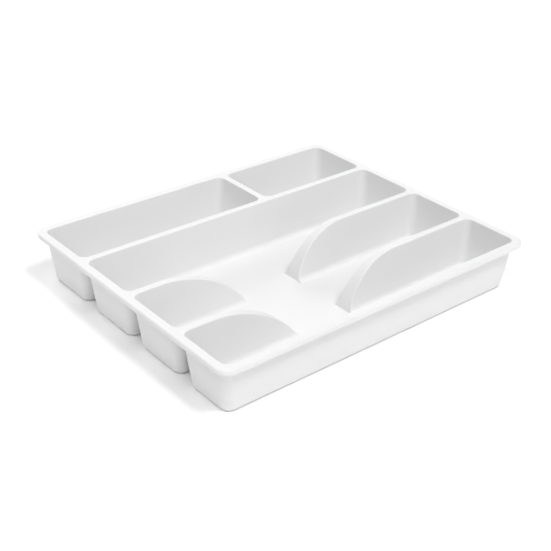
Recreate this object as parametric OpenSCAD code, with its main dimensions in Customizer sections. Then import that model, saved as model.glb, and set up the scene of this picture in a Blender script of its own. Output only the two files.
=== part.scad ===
// Drawer organizer insert: a white moulded tray with four rows.
// The back row is parted into a long and a short bay. The three front rows run the whole length
// and share an open finger well, where their dividers curve down to the floor.
// Every wall is one thin sheet, so the dividers are hollow from below and the rows stand apart.
// The moulding is drawn as its regions, which meet face to face.
// Origin: centre of the underside. +X to the right end, +Y to the back, +Z up.

/* [Overall size] */
// Length over the rim, left end to right end
tray_length = 310; // [290:1:360]
// Width over the rim, front to back
tray_width = 258; // [245:1:300]
// Height from the underside to the top of the rim
tray_height = 43.5; // [38:0.5:60]

/* [Rim] */
// How far the rim reaches past the openings
rim_reach = 7.25; // [5:0.25:10]
// Height of the turned-down lip
lip_height = 4.1; // [3:0.1:6]
// Corner radius of the rim, seen from above
rim_radius = 11.5; // [9:0.5:16]

/* [Walls] */
// Thickness of the walls, the floor and the rim
wall = 1.8; // [1.2:0.1:2.2]
// Draft of every wall, in degrees from upright
draft = 6.1; // [3:0.1:7]
// Corner radius of the openings
corner_radius = 6.5; // [5:0.5:8]
// Fillet between wall and floor, inside
floor_fillet = 5.5; // [2:0.5:6]
// Radius of the bottom edge, outside
bottom_radius = 4; // [2:0.5:4.5]

/* [Rows] */
// Width of the ridge on top of each divider
ridge_width = 6; // [5:0.5:8]
// Clear width of row 4, at the front
row_4_width = 51; // [45:0.5:54]
// Clear width of row 3
row_3_width = 57; // [48:0.5:58]
// Clear width of row 2
row_2_width = 58.5; // [48:0.5:60]
// Length of the long bay in row 1, at the back
long_bay_length = 178; // [120:1:200]

/* [Finger well] */
// Length of the flat ridge on the left dividers
left_ridge_length = 23.5; // [20:0.5:40]
// Radius of the long ramp at the end of the left dividers
left_ramp_radius = 102; // [70:1:110]
// Length of the flat ridge on the right dividers
right_ridge_length = 88; // [70:0.5:100]
// Radius of the steep ramp at the end of the right dividers
right_ramp_radius = 50; // [44:0.5:60]
// Small fillet where a ramp meets the floor
toe_fillet = 0.3; // [0.2:0.1:3]

/* [Hidden] */
$fn = 48;
plastic = [0.96, 0.96, 0.95];
over = 1;        // overshoot of a cutting shape past the face it cuts
disc = 0.01;     // height of the discs that a tub is drawn around
arc_steps = 5;   // straight facets in each small fillet
ramp_steps = 16; // straight facets along each ramp

inner_length = tray_length - 2 * rim_reach;
inner_width = tray_width - 2 * rim_reach;
left = -inner_length / 2;
right = inner_length / 2;
front = -inner_width / 2;
back = inner_width / 2;
slope = tan(draft);
skin = wall / cos(draft);   // wall thickness measured level
floor_drop = tray_height - wall;

// Openings at the top of the rim, each as [x0, y0, x1, y1]
row_4 = [left, front, right, front + row_4_width];
row_3 = [left, row_4[3] + ridge_width, right, row_4[3] + ridge_width + row_3_width];
row_2 = [left, row_3[3] + ridge_width, right, row_3[3] + ridge_width + row_2_width];
long_bay = [left, row_2[3] + ridge_width, left + long_bay_length, back];
short_bay = [long_bay[2] + ridge_width, long_bay[1], right, back];

// Centre lines of the three long dividers
line_1_2 = row_2[3] + ridge_width / 2;
line_2_3 = row_3[3] + ridge_width / 2;
line_3_4 = row_4[3] + ridge_width / 2;

// Wall profiles as [inset from the opening, height], from the floor up
function fillet(base, sharp_inset, radius) = [
    for (i = [0 : arc_steps])
        let (angle = 90 - (90 - draft) * i / arc_steps)
        [sharp_inset - radius * slope + radius / cos(draft) - radius * cos(angle),
         base + radius - radius * sin(angle)]
];
inner_foot = fillet(wall, floor_drop * slope, floor_fillet);
outer_foot = fillet(0, tray_height * slope - skin, bottom_radius);
inner_top = [-over * slope, tray_height + over];
outer_top = [-skin, tray_height];
foot_reach = inner_foot[0][0];   // from an opening's edge to the flat of the floor

// Where the straight regions stop: clear of the rounded corners and just past the outer walls
cap_reach = ceil(foot_reach + corner_radius);
web = skin + 0.2;
left_cap = left + cap_reach;
right_cap = right - cap_reach;
tee_left = long_bay[2] - cap_reach;
tee_right = short_bay[0] + cap_reach;

// Ramps: where each one starts on the ridge and how far it reaches along the floor
left_ramp = left + left_ridge_length;
right_ramp = right - right_ridge_length;
function ramp_run(radius) = sqrt(pow(radius, 2) - pow(radius - floor_drop, 2));
toe_margin = 4;
left_toe = left_ramp + ramp_run(left_ramp_radius) + toe_margin;
right_toe = right_ramp - ramp_run(right_ramp_radius) - toe_margin;

// --- building blocks ---

module block(x0, y0, z0, x1, y1, z1) {
    translate([x0, y0, z0]) cube([x1 - x0, y1 - y0, z1 - z0]);
}

// A block over the whole height of the tray
module slab(x0, y0, x1, y1) {
    block(x0, y0, 0, x1, y1, tray_height);
}

module rounded_rectangle(length, width, radius) {
    square([length - 2 * radius, width], center = true);
    square([length, width - 2 * radius], center = true);
    for (x = [-1, 1], y = [-1, 1])
        translate([x * (length / 2 - radius), y * (width / 2 - radius)]) circle(radius);
}

// A tapered box with rounded corners that follows a wall profile
module tub(opening, foot, top, radius) {
    profile = concat(foot, [top]);
    tangent_inset = foot[arc_steps][0];
    hull()
        for (point = profile) {
            inset = point[0];
            r = radius - max(0, inset - tangent_inset);
            for (x = [opening[0] + inset + r, opening[2] - inset - r])
                for (y = [opening[1] + inset + r, opening[3] - inset - r])
                    translate([x, y, point[1] - (point == foot[0] ? 0 : disc)])
                        cylinder(r = r, h = disc, $fn = 32);
        }
}

module tub_body(opening) {
    tub(opening, outer_foot, outer_top, corner_radius + skin);
}

module tub_cavity(opening) {
    tub(opening, inner_foot, inner_top, corner_radius);
}

// Part of the flat top that ties the rows together
module top_plate(x0, y0, x1, y1) {
    block(x0, y0, tray_height - wall, x1, y1, tray_height);
}

// Section of an outer wall with its strip of floor; the opening's edge is at 0 and the tray is at +
function wall_section() = concat(
    [[foot_reach, 0]], outer_foot,
    [[-skin + wall * slope, tray_height - wall], [-web, tray_height - wall], [-web, tray_height]],
    [[0, tray_height]], [for (i = [arc_steps : -1 : 0]) inner_foot[i]]
);

// Both sides of a divider's outline, centred on 0: up the left side and down the right side
function flipped(points) = [for (p = points) [-p[0], p[1]]];
function reversed(points) = [for (i = [len(points) - 1 : -1 : 0]) points[i]];
function divider_outline(foot, top_half_width, top_height) =
    let (side = concat([for (p = foot) [-ridge_width / 2 - p[0], p[1]]],
                       [[-top_half_width, top_height]]))
    concat(side, reversed(flipped(side)));

// Section of a hollow divider, with the strips of floor on both sides
module divider_section() {
    edge = ridge_width / 2 + foot_reach;
    outside = divider_outline(inner_foot, ridge_width / 2, tray_height);
    hollow_half_width = ridge_width / 2 - skin + wall * slope;
    hollow = divider_outline(outer_foot, hollow_half_width, tray_height - wall);
    polygon(concat([[-edge, 0]], outside, [[edge, 0]], reversed(hollow)));
}

// Extrudes a section drawn in (Y, Z) from x0 to x1
module along_x(x0, x1) {
    translate([x0, 0, 0]) rotate([90, 0, 90]) linear_extrude(x1 - x0) children();
}

// Side view of a divider that ends in a ramp. The ridge is at x < 0 and the ramp runs to +x.
// The sheet is cut back to the ramp's arc, and its inside follows a wall's thickness below.
function ramp_arc(radius, low, high) = [
    let (start = acos((radius - (tray_height - high)) / radius))
    let (end = acos((radius - (tray_height - low)) / radius))
    for (i = [0 : ramp_steps])
        let (angle = start + (end - start) * i / ramp_steps)
        [radius * sin(angle), tray_height - radius + radius * cos(angle)]
];

// Concave fillet between the ramp's arc and the floor
function toe(radius) =
    let (reach = radius + toe_fillet, rise = radius - tray_height + wall + toe_fillet)
    let (centre_x = sqrt(pow(reach, 2) - pow(rise, 2)))
    let (turn = atan2(rise, centre_x))
    [for (i = [0 : arc_steps])
        let (angle = 180 + turn + (90 - turn) * i / arc_steps)
        [centre_x + toe_fillet * cos(angle), wall + toe_fillet + toe_fillet * sin(angle)]];

function ramp_top(radius) =
    let (foot = toe(radius))
    concat(ramp_arc(radius, foot[0][1], tray_height), [for (i = [1 : arc_steps]) foot[i]]);

function ramp_inside(radius) = [
    let (inside = radius - wall, rise = radius - tray_height)
    let (end = acos(rise / inside))
    for (i = [0 : ramp_steps])
        let (angle = end * i / ramp_steps)
        [inside * sin(angle), tray_height - radius + inside * cos(angle)]
];

// A divider from the end cap to the toe of its ramp, drawn with the ramp towards +x
module ramped_divider(ridge_length, radius) {
    flat = ridge_length - cap_reach;
    end = ramp_run(radius) + toe_margin;
    width = ridge_width + 2 * foot_reach;
    edge = ridge_width / 2 + foot_reach;
    hollow_edge = ridge_width / 2 + outer_foot[0][0];
    difference() {
        intersection() {
            along_x(-flat, end) polygon(concat(
                [[-edge, 0]], divider_outline(inner_foot, ridge_width / 2, tray_height), [[edge, 0]]
            ));
            translate([0, width / 2, 0]) rotate([90, 0, 0]) linear_extrude(width)
                polygon(concat(
                    [[-flat, 0], [-flat, tray_height]], ramp_top(radius), [[end, wall], [end, 0]]
                ));
        }
        intersection() {
            along_x(-flat - over, end) polygon(concat(
                [[-hollow_edge, -over]],
                divider_outline(outer_foot, ridge_width / 2 - skin, tray_height),
                [[hollow_edge, -over]]
            ));
            translate([0, width / 2, 0]) rotate([90, 0, 0]) linear_extrude(width)
                polygon(concat(
                    [[-flat - over, -over], [-flat - over, tray_height - wall]],
                    ramp_inside(radius), [[ramp_inside(radius)[ramp_steps][0], -over]]
                ));
        }
    }
}

// --- the rim: a flat flange with a turned-down lip, in four mitred strips ---

module rim_ring() {
    inside = [inner_length + 2 * web, inner_width + 2 * web];
    difference() {
        translate([0, 0, tray_height - lip_height]) linear_extrude(lip_height)
            rounded_rectangle(tray_length, tray_width, rim_radius);
        translate([0, 0, tray_height - lip_height - over]) linear_extrude(lip_height + over - wall)
            rounded_rectangle(tray_length - 2 * wall, tray_width - 2 * wall, rim_radius - wall);
        block(-inside[0] / 2, -inside[1] / 2, 0, inside[0] / 2, inside[1] / 2, tray_height + over);
    }
}

// Keeps one side of the rim, between two 45 degree mitres. turn = 0 is the front
module rim_side(turn) {
    along = turn % 180 == 0 ? inner_length / 2 + web : inner_width / 2 + web;
    across = turn % 180 == 0 ? inner_width / 2 + web : inner_length / 2 + web;
    reach = 2 * rim_reach;
    color(plastic) intersection() {
        rim_ring();
        rotate([0, 0, turn]) linear_extrude(tray_height)
            polygon([[-along, -across], [-along - reach, -across - reach],
                     [along + reach, -across - reach], [along, -across]]);
    }
}

// --- the ends of the rows, with their rounded corners ---

// The y range of a row's region, from divider line to divider line
function row_range(row) =
    row == 1 ? [line_1_2, back + web] :
    row == 2 ? [line_2_3, line_1_2] :
    row == 3 ? [line_3_4, line_2_3] : [front - web, line_3_4];

module row_end(opening, row, x0, x1) {
    y = row_range(row);
    color(plastic) intersection() {
        difference() {
            union() {
                tub_body(opening);
                top_plate(x0, y[0], x1, y[1]);
            }
            tub_cavity(opening);
        }
        slab(x0, y[0], x1, y[1]);
    }
}

module left_end(opening, row) {
    row_end(opening, row, left - web, left_cap);
}

module right_end(opening, row) {
    row_end(opening, row, right_cap, right + web);
}

// --- straight walls and dividers ---

module front_wall() {
    color(plastic) along_x(left_cap, right_cap) translate([front, 0]) polygon(wall_section());
}

module back_wall(x0, x1) {
    color(plastic) along_x(x0, x1) translate([back, 0]) mirror([1, 0]) polygon(wall_section());
}

// The divider between rows 1 and 2, with room for the tee where the two bays part
module divider_row_1_2() {
    color(plastic) difference() {
        along_x(left_cap, right_cap) translate([line_1_2, 0]) divider_section();
        block(tee_left, line_1_2, -over, tee_right, back, tray_height + over);
    }
}

// The divider between the two bays, with the rounded corners at both of its ends
module divider_bays() {
    color(plastic) intersection() {
        difference() {
            union() {
                tub_body(long_bay);
                tub_body(short_bay);
                top_plate(tee_left, line_1_2, tee_right, back + web);
            }
            tub_cavity(long_bay);
            tub_cavity(short_bay);
        }
        difference() {
            slab(tee_left, line_1_2, tee_right, back + web);
            long_bay_plate();
            short_bay_plate();
        }
    }
}

module divider_left(line) {
    color(plastic) translate([left_ramp, line, 0])
        ramped_divider(left_ridge_length, left_ramp_radius);
}

module divider_right(line) {
    color(plastic) translate([right_ramp, line, 0]) mirror([1, 0, 0])
        ramped_divider(right_ridge_length, right_ramp_radius);
}

// --- floors: flat plates between the feet of the walls ---

module bay_plate(opening, x0, x1) {
    block(x0, opening[1] + foot_reach, 0, x1, opening[3] - foot_reach, wall);
}

module long_bay_plate() {
    bay_plate(long_bay, left_cap, long_bay[2] - foot_reach);
}

module short_bay_plate() {
    bay_plate(short_bay, short_bay[0] + foot_reach, right_cap);
}

module floor_long_bay() {
    color(plastic) long_bay_plate();
}

module floor_short_bay() {
    color(plastic) short_bay_plate();
}

module floor_rows_2_3_4() {
    half = ridge_width / 2 + foot_reach;
    color(plastic) difference() {
        block(left_cap, front + foot_reach, 0, right_cap, row_2[3] - foot_reach, wall);
        for (line = [line_2_3, line_3_4]) {
            block(left_cap - over, line - half, -over, left_toe, line + half, wall + over);
            block(right_toe, line - half, -over, right_cap + over, line + half, wall + over);
        }
    }
}

rim_side(0);  // rim_front
rim_side(180);  // rim_back
rim_side(270);  // rim_left
rim_side(90);  // rim_right
left_end(long_bay, 1);  // left_end_row_1
left_end(row_2, 2);  // left_end_row_2
left_end(row_3, 3);  // left_end_row_3
left_end(row_4, 4);  // left_end_row_4
right_end(short_bay, 1);  // right_end_row_1
right_end(row_2, 2);  // right_end_row_2
right_end(row_3, 3);  // right_end_row_3
right_end(row_4, 4);  // right_end_row_4
front_wall();
back_wall(left_cap, tee_left);  // back_wall_long_bay
back_wall(tee_right, right_cap);  // back_wall_short_bay
divider_row_1_2();
divider_bays();
divider_left(line_2_3);  // divider_left_row_2_3
divider_left(line_3_4);  // divider_left_row_3_4
divider_right(line_2_3);  // divider_right_row_2_3
divider_right(line_3_4);  // divider_right_row_3_4
floor_long_bay();
floor_short_bay();
floor_rows_2_3_4();
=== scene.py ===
"""Looks of a white moulded drawer tray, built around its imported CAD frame.

Every region of the moulding is a closed mesh of its own with rounded edges, and it replaces that
region's CAD node. Sizes of the tray are in millimetres, as in the part's source, and MM turns them
into metres. The lights and the camera are placed in metres.
"""
import math

import bmesh
import bpy
from mathutils import Euler, Matrix, Vector


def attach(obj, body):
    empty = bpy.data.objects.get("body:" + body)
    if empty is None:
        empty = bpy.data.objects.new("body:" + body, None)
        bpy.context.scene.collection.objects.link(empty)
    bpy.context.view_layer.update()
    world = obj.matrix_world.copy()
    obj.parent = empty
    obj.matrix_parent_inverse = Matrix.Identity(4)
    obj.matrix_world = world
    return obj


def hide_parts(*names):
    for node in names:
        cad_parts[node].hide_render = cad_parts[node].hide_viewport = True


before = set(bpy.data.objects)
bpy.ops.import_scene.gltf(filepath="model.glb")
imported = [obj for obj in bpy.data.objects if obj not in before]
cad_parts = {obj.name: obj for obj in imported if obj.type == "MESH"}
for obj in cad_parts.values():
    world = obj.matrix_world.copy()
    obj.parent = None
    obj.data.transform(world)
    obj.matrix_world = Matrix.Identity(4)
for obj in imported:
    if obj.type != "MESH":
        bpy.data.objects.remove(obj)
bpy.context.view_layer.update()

# --- driving sizes, the same as the CAD part's ---

MM = 0.001
LENGTH, WIDTH, HEIGHT = 310.0, 258.0, 43.5
RIM_REACH = 7.25
LIP_HEIGHT = 4.1
RIM_RADIUS = 11.5
WALL = 1.8
DRAFT = math.radians(6.1)
CORNER_RADIUS = 6.5
FLOOR_FILLET = 5.5
BOTTOM_RADIUS = 4.0
RIDGE = 6.0
ROW_WIDTHS = {4: 51.0, 3: 57.0, 2: 58.5}
LONG_BAY = 178.0
LEFT_RIDGE, LEFT_RAMP_RADIUS = 23.5, 102.0
RIGHT_RIDGE, RIGHT_RAMP_RADIUS = 88.0, 50.0
TOE_FILLET = 0.3      # where a ramp meets the floor
TOE_MARGIN = 4.0      # flat floor that a ramped divider's region has past its toe

# Small radii that only the looks have
EDGE_ROUND = 0.9      # along the openings and the ridges
EDGE_SHARE = 0.45     # most of a low ridge's height that its rounded edge may take
RIM_ROUND = 1.5       # along the top outer edge of the rim
LIP_ROUND = 0.5       # along the lower edges of the lip
LIP_FILLET = 0.8      # inside the lip, under the flange

# How finely curves are drawn
FILLET_STEPS = 8
ROUND_STEPS = 6
CORNER_STEPS = 14
RAMP_STEPS = 36
TOE_STEPS = 8
WALL_STEPS = 4
SHARP_ANGLE = math.radians(40)

SLOPE = math.tan(DRAFT)
SKIN = WALL / math.cos(DRAFT)
LEFT, RIGHT = -LENGTH / 2 + RIM_REACH, LENGTH / 2 - RIM_REACH
FRONT, BACK = -WIDTH / 2 + RIM_REACH, WIDTH / 2 - RIM_REACH


# --- profiles: (inset from the opening's edge, height) ---

def steps(start, end, count):
    """count + 1 evenly spaced values from start to end."""
    return [start + (end - start) * i / count for i in range(count + 1)]


def foot_arc(base, sharp_inset, radius):
    """The arc between a drafted wall and a floor, from the floor up."""
    centre = sharp_inset - radius * SLOPE + radius / math.cos(DRAFT)
    return [
        (centre - radius * math.cos(a), base + radius - radius * math.sin(a))
        for a in steps(math.pi / 2, DRAFT, FILLET_STEPS)
    ]


def edge_arc(radius):
    """The rounded edge between a drafted wall and the flat top, from the wall up."""
    centre = radius * SLOPE - radius / math.cos(DRAFT)
    return [
        (centre + radius * math.cos(a), HEIGHT - radius + radius * math.sin(a))
        for a in steps(DRAFT, math.pi / 2, ROUND_STEPS)
    ]


INNER_FOOT = foot_arc(WALL, (HEIGHT - WALL) * SLOPE, FLOOR_FILLET)
OUTER_FOOT = foot_arc(0.0, HEIGHT * SLOPE - SKIN, BOTTOM_RADIUS)
INNER_EDGE = edge_arc(EDGE_ROUND)
UNDER_PLATE = (-SKIN + WALL * SLOPE, HEIGHT - WALL)
FOOT_REACH = INNER_FOOT[0][0]


def between(low, high, count):
    """Points spaced evenly between two profile points, without the ends."""
    return [
        tuple(a + (b - a) * i / (count + 1) for a, b in zip(low, high))
        for i in range(1, count + 1)
    ]


INNER_PROFILE = INNER_FOOT + between(INNER_FOOT[-1], INNER_EDGE[0], WALL_STEPS) + INNER_EDGE
OUTER_PROFILE = OUTER_FOOT + between(OUTER_FOOT[-1], UNDER_PLATE, WALL_STEPS) + [UNDER_PLATE]

# Where the regions of the moulding meet: the ends of the rows reach CAP_REACH in from the openings'
# edges, past their rounded corners, and the walls reach WEB out, just past their own thickness
CAP_REACH = math.ceil(FOOT_REACH + CORNER_RADIUS)
WEB = SKIN + 0.2
LEFT_CAP, RIGHT_CAP = LEFT + CAP_REACH, RIGHT - CAP_REACH

row_4 = (LEFT, FRONT, RIGHT, FRONT + ROW_WIDTHS[4])
row_3 = (LEFT, row_4[3] + RIDGE, RIGHT, row_4[3] + RIDGE + ROW_WIDTHS[3])
row_2 = (LEFT, row_3[3] + RIDGE, RIGHT, row_3[3] + RIDGE + ROW_WIDTHS[2])
long_bay = (LEFT, row_2[3] + RIDGE, LEFT + LONG_BAY, BACK)
short_bay = (long_bay[2] + RIDGE, long_bay[1], RIGHT, BACK)
LINE_1_2 = row_2[3] + RIDGE / 2
LINE_2_3 = row_3[3] + RIDGE / 2
LINE_3_4 = row_4[3] + RIDGE / 2
BAY_LINE = long_bay[2] + RIDGE / 2
TEE_LEFT, TEE_RIGHT = long_bay[2] - CAP_REACH, short_bay[0] + CAP_REACH


# --- closed meshes from pairs of sheets ---

class Skin:
    """Gathers faces by their corner points; faces that two cells share cancel out."""

    def __init__(self):
        self.points = {}
        self.faces = {}

    def corner(self, point):
        key = tuple(round(c, 4) + 0.0 for c in point)
        return self.points.setdefault(key, len(self.points))

    def face(self, corners):
        ring = []
        for point in corners:
            index = self.corner(point)
            if index not in ring:
                ring.append(index)
        if len(ring) < 3:
            return
        key = frozenset(ring)
        if key in self.faces:
            del self.faces[key]
        else:
            self.faces[key] = ring

    def cell(self, top, bottom):
        """A closed cell between two sheets with the same number of rows."""
        for sheet in (top, bottom):
            for low, high in zip(sheet, sheet[1:]):
                for i in range(len(low) - 1):
                    self.face((low[i], low[i + 1], high[i + 1], high[i]))
        for a, b, c, d in zip(top, top[1:], bottom, bottom[1:]):
            self.face((a[0], b[0], d[0], c[0]))
            self.face((a[-1], b[-1], d[-1], c[-1]))
        for end in (0, -1):
            self.face(list(top[end]) + list(reversed(bottom[end])))


pieces = []


def finish_piece(node, skin):
    """Makes the mesh, smooths its shading, and lets it stand for a CAD node."""
    name = node + "_skin"
    mesh = bpy.data.meshes.new(name)
    bm = bmesh.new()
    verts = [bm.verts.new([c * MM for c in key]) for key in skin.points]
    for ring in skin.faces.values():
        bm.faces.new([verts[i] for i in ring])
    loose = [v for v in bm.verts if not v.link_faces]
    bmesh.ops.delete(bm, geom=loose, context="VERTS")
    bmesh.ops.recalc_face_normals(bm, faces=bm.faces)
    for f in bm.faces:
        f.smooth = True
    bm.to_mesh(mesh)
    bm.free()
    mesh.set_sharp_from_angle(angle=SHARP_ANGLE)
    piece = bpy.data.objects.new(name, mesh)
    bpy.context.scene.collection.objects.link(piece)
    weighted = piece.modifiers.new("even shading", "WEIGHTED_NORMAL")
    weighted.keep_sharp = True
    weighted.weight = 100
    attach(piece, "root")
    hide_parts(node)
    pieces.append(piece)


def mirror_x(sheet, middle):
    return [[(2 * middle - x, y, z) for x, y, z in row] for row in sheet]


def mirror_y(sheet, middle):
    return [[(x, 2 * middle - y, z) for x, y, z in row] for row in sheet]


def turned(sheet, quarter_turns):
    turn = Matrix.Rotation(quarter_turns * math.pi / 2, 3, "Z")
    return [[tuple(turn @ Vector(point)) for point in row] for row in sheet]


# --- ends of the rows: rounded corners and the wall between them ---

def around_end(opening, inset, radius, cap):
    """Points round the left end of a tub at one inset, from the cap line and back to it."""
    x0, y0, y1 = opening[0] + inset, opening[1] + inset, opening[3] - inset
    turn = steps(0.0, math.pi / 2, CORNER_STEPS)
    points = [(cap, y0)]
    points += [(x0 + radius - radius * math.sin(a), y0 + radius - radius * math.cos(a)) for a in turn]
    points += [(x0 + radius - radius * math.cos(a), y1 - radius + radius * math.sin(a)) for a in turn]
    points.append((cap, y1))
    return points


def square_end(x_end, y_low, y_high, ring, cap):
    """Points on a region's square outline that stand opposite the points of a ring."""
    half = CORNER_STEPS // 2
    points = [(cap, y_low)]
    start = ring[1]
    points += [(start[0] + (x_end - start[0]) * i / half, y_low) for i in range(half + 1)]
    reach = ring[CORNER_STEPS + 1][1]
    points += [(x_end, y_low + (reach - y_low) * i / half) for i in range(1, half + 1)]
    reach = ring[CORNER_STEPS + 2][1]
    points += [(x_end, reach + (y_high - reach) * i / half) for i in range(half + 1)]
    start = ring[-2]
    points += [(x_end + (start[0] - x_end) * i / half, y_high) for i in range(1, half + 1)]
    points.append((cap, y_high))
    return points


def end_sheets(opening, y_low, y_high, x_end, cap, with_floor=True):
    """Top and bottom sheets of a row's left end.

    The region's square outline runs from y_low to y_high and out to x_end. Without its floor, it
    stops at the foot of the walls.
    """
    sheets = []
    for profile, foot, edge_inset, radius, floor_z, top_z in (
        (INNER_PROFILE, INNER_FOOT, 0.0, CORNER_RADIUS, WALL, HEIGHT),
        (OUTER_PROFILE, OUTER_FOOT, -SKIN, CORNER_RADIUS + SKIN, 0.0, HEIGHT - WALL),
    ):
        rings = []
        for inset, z in profile:
            shrink = max(0.0, inset - foot[-1][0])
            grow = max(0.0, edge_inset - inset)
            points = around_end(opening, inset, radius - shrink + grow, cap)
            rings.append([(x, y, z) for x, y in points])
        if with_floor:
            floor_edge = [(cap, y) for _, y, _ in rings[0]]
        else:
            floor_edge = around_end(opening, FOOT_REACH, 0.0, cap)
        outline = square_end(x_end, y_low, y_high, rings[-1], cap)
        rings.insert(0, [(x, y, floor_z) for x, y in floor_edge])
        rings.append([(x, y, top_z) for x, y in outline])
        sheets.append([list(station) for station in zip(*rings)])
    return sheets


ROW_RANGES = {
    1: (long_bay, LINE_1_2, BACK + WEB),
    2: (row_2, LINE_2_3, LINE_1_2),
    3: (row_3, LINE_3_4, LINE_2_3),
    4: (row_4, FRONT - WEB, LINE_3_4),
}
for row, (opening, y_low, y_high) in ROW_RANGES.items():
    top, bottom = end_sheets(opening, y_low, y_high, LEFT - WEB, LEFT_CAP)
    skin = Skin()
    skin.cell(top, bottom)
    finish_piece(f"left_end_row_{row}", skin)
    skin = Skin()
    skin.cell(mirror_x(top, 0.0), mirror_x(bottom, 0.0))
    finish_piece(f"right_end_row_{row}", skin)

# The divider between the bays: the short bay's left end, and its mirror for the long bay's right end
skin = Skin()
sheets = end_sheets(short_bay, LINE_1_2, BACK + WEB, BAY_LINE, TEE_RIGHT, with_floor=False)
skin.cell(*sheets)
skin.cell(*[mirror_x(sheet, BAY_LINE) for sheet in sheets])
finish_piece("divider_bays", skin)


# --- straight outer walls ---

def wall_rows(x0, x1, edge_y):
    """Sheets of a straight wall whose opening's edge is at edge_y, with the tray at +y."""
    top = [(inset, z) for inset, z in INNER_PROFILE] + [(-WEB, HEIGHT)]
    bottom = [(FOOT_REACH, 0.0)] + OUTER_PROFILE + [(-WEB, HEIGHT - WALL)]
    return [[[(x, edge_y + inset, z) for inset, z in side] for x in (x0, x1)] for side in (top, bottom)]


for name, x0, x1, at_back in (
    ("front_wall", LEFT_CAP, RIGHT_CAP, False),
    ("back_wall_long_bay", LEFT_CAP, TEE_LEFT, True),
    ("back_wall_short_bay", TEE_RIGHT, RIGHT_CAP, True),
):
    sheets = wall_rows(x0, x1, FRONT)
    if at_back:
        sheets = [mirror_y(sheet, 0.0) for sheet in sheets]
    skin = Skin()
    skin.cell(*sheets)
    finish_piece(name, skin)


# --- hollow dividers: one half, from the ridge's middle out to the flat floor ---

def side_y(profile, z):
    """Half width of a divider's side at height z, along a wall profile."""
    for (low_inset, low_z), (high_inset, high_z) in zip(profile, profile[1:]):
        if z <= high_z:
            share = (z - low_z) / (high_z - low_z)
            return RIDGE / 2 + low_inset + (high_inset - low_inset) * share
    return RIDGE / 2 + profile[-1][0]


SIDE_PROFILE = INNER_FOOT + [(0.0, HEIGHT)]
HOLLOW_PROFILE = OUTER_FOOT + [(-SKIN, HEIGHT)]


def side_normal(z):
    """Outward normal of a divider's side at height z, in (x, y, z)."""
    rise = min(1.0, max(0.0, (WALL + FLOOR_FILLET - z) / FLOOR_FILLET))
    angle = max(DRAFT, math.asin(rise))
    return Vector((0.0, math.cos(angle), math.sin(angle)))


def divider_top_row(x, z, ramp_normal):
    """One row over a divider's top sheet: ridge, rounded edge, side, fillet, foot."""
    edge = Vector((x, side_y(SIDE_PROFILE, z), z))
    side = side_normal(z)
    radius = min(EDGE_ROUND, EDGE_SHARE * max(0.0, z - WALL))
    centre = edge - (side + ramp_normal) * radius / (1.0 + side.dot(ramp_normal))
    arc = [centre + radius * ramp_normal.slerp(side, t) for t in steps(0.0, 1.0, ROUND_STEPS)]
    row = [(arc[0].x, arc[0].y * t, arc[0].z) for t in (0.0, 0.5)]
    row += [tuple(point) for point in arc]
    levels = [z for _, z in between(INNER_FOOT[-1], (0.0, HEIGHT), WALL_STEPS)][::-1]
    levels += [z for _, z in reversed(INNER_FOOT)]
    for level in levels:
        z_here = min(level, arc[-1].z)
        row.append((arc[-1].x, max(arc[-1].y, side_y(SIDE_PROFILE, z_here)), z_here))
    return row


def divider_bottom_row(x, z):
    """One row over a divider's hollow underside, at the height of the hollow's roof."""
    row = [(x, side_y(HOLLOW_PROFILE, z) * t, z) for t in (0.0, 0.5)]
    levels = [z for _, z in between(OUTER_FOOT[-1], (0.0, HEIGHT), WALL_STEPS)][::-1]
    levels += [z for _, z in reversed(OUTER_FOOT)]
    for level in [HEIGHT] + levels:
        z_here = min(level, z)
        row.append((x, side_y(HOLLOW_PROFILE, z_here), z_here))
    row.append((x, RIDGE / 2 + FOOT_REACH, 0.0))
    return row


UP = Vector((0.0, 0.0, 1.0))


def straight_half(stations):
    """Sheets of a straight half divider along the given x stations."""
    top = [divider_top_row(x, HEIGHT, UP) for x in stations]
    bottom = [divider_bottom_row(x, HEIGHT - WALL) for x in stations]
    return [top, bottom]


def ramped_half(start, ridge_length, radius):
    """Sheets of a half divider that ends in a ramp towards +x; start is on the cap line."""
    ramp_start = start + ridge_length - CAP_REACH
    centre_z = HEIGHT - radius
    toe_z = WALL + TOE_FILLET
    toe_x = ramp_start + math.sqrt((radius + TOE_FILLET) ** 2 - (toe_z - centre_z) ** 2)
    turn = math.acos((toe_z - centre_z) / (radius + TOE_FILLET))
    rows = [(start, HEIGHT, 0.0)]
    for a in steps(0.0, turn, RAMP_STEPS):
        rows.append((ramp_start + radius * math.sin(a), centre_z + radius * math.cos(a), a))
    for a in steps(turn, 0.0, TOE_STEPS)[1:]:
        x = toe_x - TOE_FILLET * math.sin(a)
        rows.append((x, toe_z - TOE_FILLET * math.cos(a), a))
    top = [divider_top_row(x, z, Vector((math.sin(a), 0.0, math.cos(a)))) for x, z, a in rows]
    run = math.sqrt(radius ** 2 - (centre_z - WALL) ** 2)
    end = ramp_start + run + TOE_MARGIN
    foot = RIDGE / 2 + FOOT_REACH
    top.append([(end, min(y, foot), WALL) for _, y, _ in top[-1]])

    inside = radius - WALL
    inner_turn = math.acos(-centre_z / inside)
    stations = len(rows) - 1
    bottom = [divider_bottom_row(start, HEIGHT - WALL)]
    for a in steps(0.0, inner_turn, stations - 1):
        z = max(0.0, centre_z + inside * math.cos(a))
        bottom.append(divider_bottom_row(ramp_start + inside * math.sin(a), z))
    bottom.append(divider_bottom_row(end, 0.0))
    return [top, bottom]


def move_y(sheet, y):
    return [[(px, py + y, pz) for px, py, pz in row] for row in sheet]


def both_halves(sheets, line):
    """The cells of a whole divider, from one half drawn at y > 0."""
    for flip in (False, True):
        half = [mirror_y(sheet, 0.0) if flip else sheet for sheet in sheets]
        yield [move_y(sheet, line) for sheet in half]


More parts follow.
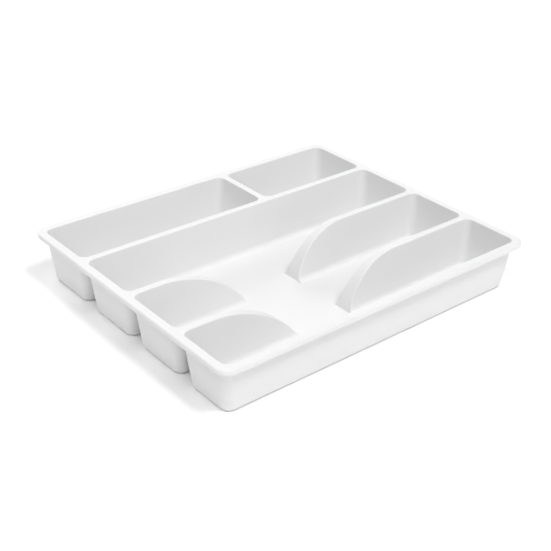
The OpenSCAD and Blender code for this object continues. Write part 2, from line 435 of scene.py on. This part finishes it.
# The full-length divider: its back half stops at the bays' tees
skin = Skin()
front_half = straight_half([LEFT_CAP, TEE_LEFT, TEE_RIGHT, RIGHT_CAP])
skin.cell(*[move_y(mirror_y(sheet, 0.0), LINE_1_2) for sheet in front_half])
for x0, x1 in ((LEFT_CAP, TEE_LEFT), (TEE_RIGHT, RIGHT_CAP)):
    skin.cell(*[move_y(sheet, LINE_1_2) for sheet in straight_half([x0, x1])])
finish_piece("divider_row_1_2", skin)

for side, ridge, radius in (
    ("left", LEFT_RIDGE, LEFT_RAMP_RADIUS),
    ("right", RIGHT_RIDGE, RIGHT_RAMP_RADIUS),
):
    sheets = ramped_half(LEFT_CAP, ridge, radius)
    if side == "right":
        sheets = [mirror_x(sheet, 0.0) for sheet in sheets]
    for rows, line in (("2_3", LINE_2_3), ("3_4", LINE_3_4)):
        skin = Skin()
        for half in both_halves(sheets, line):
            skin.cell(*half)
        finish_piece(f"divider_{side}_row_{rows}", skin)


# --- floors ---

def plate(skin, x0, y0, x1, y1):
    """Adds a flat piece of floor between two corners."""
    sheets = [[[(x, y, z) for y in (y0, y1)] for x in (x0, x1)] for z in (WALL, 0.0)]
    skin.cell(*sheets)


for name, opening, x0, x1 in (
    ("floor_long_bay", long_bay, LEFT_CAP, long_bay[2] - FOOT_REACH),
    ("floor_short_bay", short_bay, short_bay[0] + FOOT_REACH, RIGHT_CAP),
):
    skin = Skin()
    plate(skin, x0, opening[1] + FOOT_REACH, x1, opening[3] - FOOT_REACH)
    finish_piece(name, skin)


def ramp_end(ridge_length, radius):
    """Distance from an end of the openings to the far edge of a ramped divider's region."""
    return ridge_length + math.sqrt(radius ** 2 - (HEIGHT - radius - WALL) ** 2) + TOE_MARGIN


# The shared floor is a grid of plates with four cut-outs, where the ramped dividers stand
half = RIDGE / 2 + FOOT_REACH
x_lines = [
    LEFT_CAP,
    LEFT + ramp_end(LEFT_RIDGE, LEFT_RAMP_RADIUS),
    RIGHT - ramp_end(RIGHT_RIDGE, RIGHT_RAMP_RADIUS),
    RIGHT_CAP,
]
y_lines = [
    FRONT + FOOT_REACH,
    LINE_3_4 - half,
    LINE_3_4 + half,
    LINE_2_3 - half,
    LINE_2_3 + half,
    row_2[3] - FOOT_REACH,
]
skin = Skin()
for i in range(len(x_lines) - 1):
    for j in range(len(y_lines) - 1):
        under_divider = j in (1, 3) and i != 1
        if not under_divider:
            plate(skin, x_lines[i], y_lines[j], x_lines[i + 1], y_lines[j + 1])
finish_piece("floor_rows_2_3_4", skin)


# --- rim: flange and turned-down lip, one mitred side at a time ---

def rim_profile():
    """Two profiles as (distance in from the outer face, height): outside and inside of the lip."""
    bottom = HEIGHT - LIP_HEIGHT
    quarter = steps(0.0, math.pi / 2, ROUND_STEPS)
    outside = [
        (RIM_ROUND - RIM_ROUND * math.sin(a), HEIGHT - RIM_ROUND + RIM_ROUND * math.cos(a))
        for a in quarter
    ]
    outside += [
        (LIP_ROUND - LIP_ROUND * math.cos(a), bottom + LIP_ROUND - LIP_ROUND * math.sin(a))
        for a in quarter
    ]
    roof = HEIGHT - WALL
    inside = [
        (WALL + LIP_FILLET - LIP_FILLET * math.sin(a), roof - LIP_FILLET + LIP_FILLET * math.cos(a))
        for a in quarter
    ]
    inside += [
        (WALL - LIP_ROUND + LIP_ROUND * math.cos(a), bottom + LIP_ROUND - LIP_ROUND * math.sin(a))
        for a in quarter
    ]
    return outside, inside


def rim_side(half_length, half_width):
    """Sheets of the front side of a rim with these half sizes, mitre to mitre."""
    outside, inside = rim_profile()
    half = CORNER_STEPS // 2
    arc = steps(math.pi / 4, 0.0, half)
    web_x, web_y = half_length - RIM_REACH + WEB, half_width - RIM_REACH + WEB
    sheets = []
    for profile, web_z in ((outside, HEIGHT), (inside, HEIGHT - WALL)):
        rows = []
        for i, a in enumerate(arc):
            share = i / half
            x = web_x + (half_length - RIM_RADIUS - web_x) * share
            row = [(-x, -web_y, web_z)]
            for inset, z in profile:
                r = RIM_RADIUS - inset
                px = half_length - RIM_RADIUS + r * math.sin(a)
                py = half_width - RIM_RADIUS + r * math.cos(a)
                row.append((-px, -py, z))
            rows.append(row)
        rows += [[(-x, y, z) for x, y, z in row] for row in reversed(rows)]
        sheets.append(rows)
    return sheets


for name, quarter_turns in (("front", 0), ("right", 1), ("back", 2), ("left", 3)):
    sizes = (LENGTH / 2, WIDTH / 2) if quarter_turns % 2 == 0 else (WIDTH / 2, LENGTH / 2)
    skin = Skin()
    skin.cell(*[turned(sheet, quarter_turns) for sheet in rim_side(*sizes)])
    finish_piece(f"rim_{name}", skin)


# --- material ---

def moulded_plastic():
    """White satin polystyrene: soft mottling of the gloss and the tone, and a fine moulded grain."""
    material = bpy.data.materials.new("white_plastic")
    material.use_nodes = True
    nodes, links = material.node_tree.nodes, material.node_tree.links
    shader = nodes["Principled BSDF"]
    shader.inputs["IOR"].default_value = 1.5
    place = nodes.new("ShaderNodeTexCoord")

    def noise(scale, detail, seed):
        node = nodes.new("ShaderNodeTexNoise")
        node.noise_dimensions = "4D"
        node.inputs["W"].default_value = seed
        node.inputs["Scale"].default_value = scale
        node.inputs["Detail"].default_value = detail
        links.new(place.outputs["Object"], node.inputs["Vector"])
        return node

    def remap(source, low, high):
        node = nodes.new("ShaderNodeMapRange")
        node.interpolation_type = "SMOOTHSTEP"
        node.inputs["From Min"].default_value = 0.2
        node.inputs["From Max"].default_value = 0.8
        node.inputs["To Min"].default_value = low
        node.inputs["To Max"].default_value = high
        links.new(source, node.inputs["Value"])
        return node.outputs["Result"]

    flow = noise(14.0, 3.0, 1.0)
    links.new(remap(flow.outputs["Fac"], 0.46, 0.54), shader.inputs["Roughness"])
    tint = nodes.new("ShaderNodeMix")
    tint.data_type = "RGBA"
    tint.inputs["A"].default_value = (0.79, 0.79, 0.79, 1.0)
    tint.inputs["B"].default_value = (0.81, 0.81, 0.81, 1.0)
    links.new(remap(noise(9.0, 2.0, 4.0).outputs["Fac"], 0.0, 1.0), tint.inputs["Factor"])
    links.new(tint.outputs["Result"], shader.inputs["Base Color"])
    grain = nodes.new("ShaderNodeBump")
    grain.inputs["Strength"].default_value = 0.12
    grain.inputs["Distance"].default_value = 0.00006
    links.new(noise(1500.0, 2.0, 7.0).outputs["Fac"], grain.inputs["Height"])
    links.new(grain.outputs["Normal"], shader.inputs["Normal"])
    return material


plastic = moulded_plastic()
for piece in pieces:
    piece.data.materials.append(plastic)


# --- floor, light and camera ---

FLOOR_REACH = 6.0
LIGHT_DISTANCE = 8.0
HORIZON_GLOW, ROOM_GLOW = 0.9, 0.28


def backdrop():
    """A plain pale floor, which isn't part of the tray."""
    mesh = bpy.data.meshes.new("floor")
    bm = bmesh.new()
    bmesh.ops.create_grid(bm, x_segments=1, y_segments=1, size=FLOOR_REACH)
    bm.to_mesh(mesh)
    bm.free()
    floor = bpy.data.objects.new("floor", mesh)
    bpy.context.scene.collection.objects.link(floor)
    paper = bpy.data.materials.new("paper")
    paper.use_nodes = True
    shader = paper.node_tree.nodes["Principled BSDF"]
    shader.inputs["Base Color"].default_value = (0.98, 0.98, 0.98, 1.0)
    shader.inputs["Roughness"].default_value = 0.9
    mesh.materials.append(paper)


def softbox(name, direction, size, watts):
    """A square lamp LIGHT_DISTANCE away in the given direction, aimed at the tray."""
    light = bpy.data.lights.new(name, "AREA")
    light.shape = "SQUARE"
    light.size = size
    light.energy = watts
    lamp = bpy.data.objects.new(name, light)
    toward = Vector(direction).normalized()
    lamp.location = toward * LIGHT_DISTANCE
    lamp.rotation_euler = (-toward).to_track_quat("-Z", "Y").to_euler()
    bpy.context.scene.collection.objects.link(lamp)


def room():
    """A plain white room, bright in a low band round the horizon and dimmer above it."""
    world = bpy.data.worlds.new("studio")
    world.use_nodes = True
    nodes, links = world.node_tree.nodes, world.node_tree.links
    sky = nodes["Background"]
    sky.inputs["Color"].default_value = (1.0, 1.0, 1.0, 1.0)
    direction = nodes.new("ShaderNodeTexCoord")
    split = nodes.new("ShaderNodeSeparateXYZ")
    fade = nodes.new("ShaderNodeMapRange")
    fade.inputs["From Min"].default_value = 0.03
    fade.inputs["From Max"].default_value = 0.12
    fade.inputs["To Min"].default_value = HORIZON_GLOW
    fade.inputs["To Max"].default_value = ROOM_GLOW
    links.new(direction.outputs["Generated"], split.inputs["Vector"])
    links.new(split.outputs["Z"], fade.inputs["Value"])
    links.new(fade.outputs["Result"], sky.inputs["Strength"])
    bpy.context.scene.world = world


backdrop()
softbox("key", (0.11, -0.45, 0.89), 1.8, 258.0)
softbox("top_left", (-0.45, 0.05, 0.9), 1.8, 124.0)
softbox("front_left", (-0.4, -0.45, 0.8), 4.4, 122.0)
softbox("front", (0.1, -0.95, 0.3), 4.4, 70.0)
softbox("back", (0.1, 0.9, 0.45), 4.4, 180.0)
softbox("back_right", (0.56, 0.66, 0.5), 4.4, 84.0)
room()
bpy.context.scene.view_settings.view_transform = "Standard"

# Camera: three-quarter view from the front left and above, leaning very slightly
HEADING = math.radians(40.219)
PITCH = math.radians(29.739)
ROLL = math.radians(1.492)
camera_data = bpy.data.cameras.new("camera")
camera_data.sensor_width = 36.0
camera_data.lens = 68.68
camera = bpy.data.objects.new("camera", camera_data)
camera.location = (-0.4927, -0.5778, 0.4396)
aim = Euler((math.pi / 2 - PITCH, 0.0, -HEADING)).to_matrix() @ Matrix.Rotation(ROLL, 3, "Z")
camera.rotation_euler = aim.to_euler()
bpy.context.scene.collection.objects.link(camera)
bpy.context.scene.camera = camera
